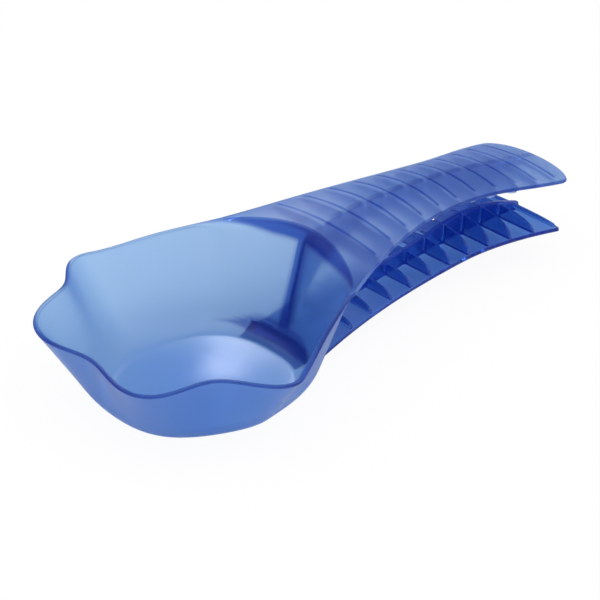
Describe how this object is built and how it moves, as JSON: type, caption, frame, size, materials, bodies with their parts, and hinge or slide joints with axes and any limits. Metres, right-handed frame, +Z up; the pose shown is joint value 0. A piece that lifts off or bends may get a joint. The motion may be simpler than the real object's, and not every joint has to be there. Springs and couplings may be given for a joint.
{
  "type": "feed scoop",
  "caption": "Scalloped open scoop bowl with a wide handle split into two ribbed spring arms that close a folded bag.",
  "frame": {"origin": "on the resting plane under the foot of the bowl, on the scoop's centre line", "axes": "+X along the handle from the bowl to the tip, +Z up, +Y to the left of the handle; the scoop is mirrored across Y = 0"},
  "size_m": [0.2469, 0.1294, 0.0513],
  "materials": {
    "scoop_blue": "smooth moulded translucent blue, faintly frosted",
    "arm_blue": "the same translucent blue, darker where layers stack"
  },
  "bodies": {
    "scoop": {"scoop_bowl": "scoop_blue", "upper_arm": "scoop_blue", "upper_rib_frame": "arm_blue", "back_web": "arm_blue", "heel_strip": "arm_blue"},
    "clip": {"clip_arm": "arm_blue", "clip_rib_frame": "arm_blue"}
  },
  "joints": [
    {"name": "clip_squeeze", "type": "hinge", "parent": "scoop", "child": "clip", "pos_m": [0.0571, 0, 0.00225], "axis": [0, -1, 0], "range_deg": [-5, 5], "stiffness_Nm_per_rad": 2}
  ]
}
